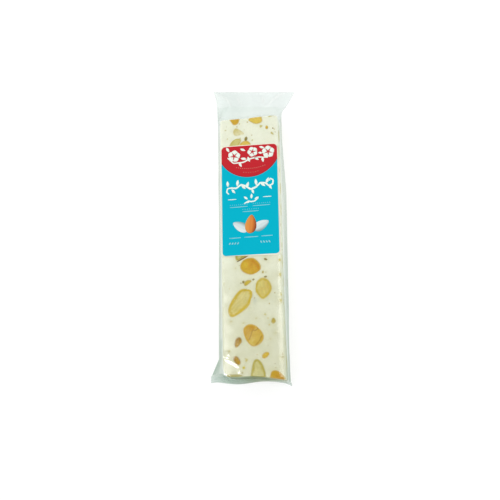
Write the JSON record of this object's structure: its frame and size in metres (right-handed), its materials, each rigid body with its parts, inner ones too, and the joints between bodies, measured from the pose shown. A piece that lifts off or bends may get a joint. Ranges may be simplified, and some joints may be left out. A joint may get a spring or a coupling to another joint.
{
  "type": "nougat bar",
  "caption": "Flat bar of soft white nougat set with almonds, sealed in clear flow-wrap film with crimped ends, with a rounded paper label on its front.",
  "frame": {"origin": "middle of the pack's outline, on the surface that it lies on", "axes": "+Y along the bar towards the loose end of the film, +Z out of the labelled front, +X across the bar"},
  "size_m": [0.0508, 0.1714, 0.0137],
  "materials": {
    "film": "clear glossy film drawn tight over pale nougat",
    "paper": "coated label paper, satin",
    "nougat": "pale cream, dense and slightly chewy, cut faces",
    "almond": "roasted, cut through"
  },
  "bodies": {
    "root": {"film_pack": "film", "label": "paper"}
  },
  "joints": []
}
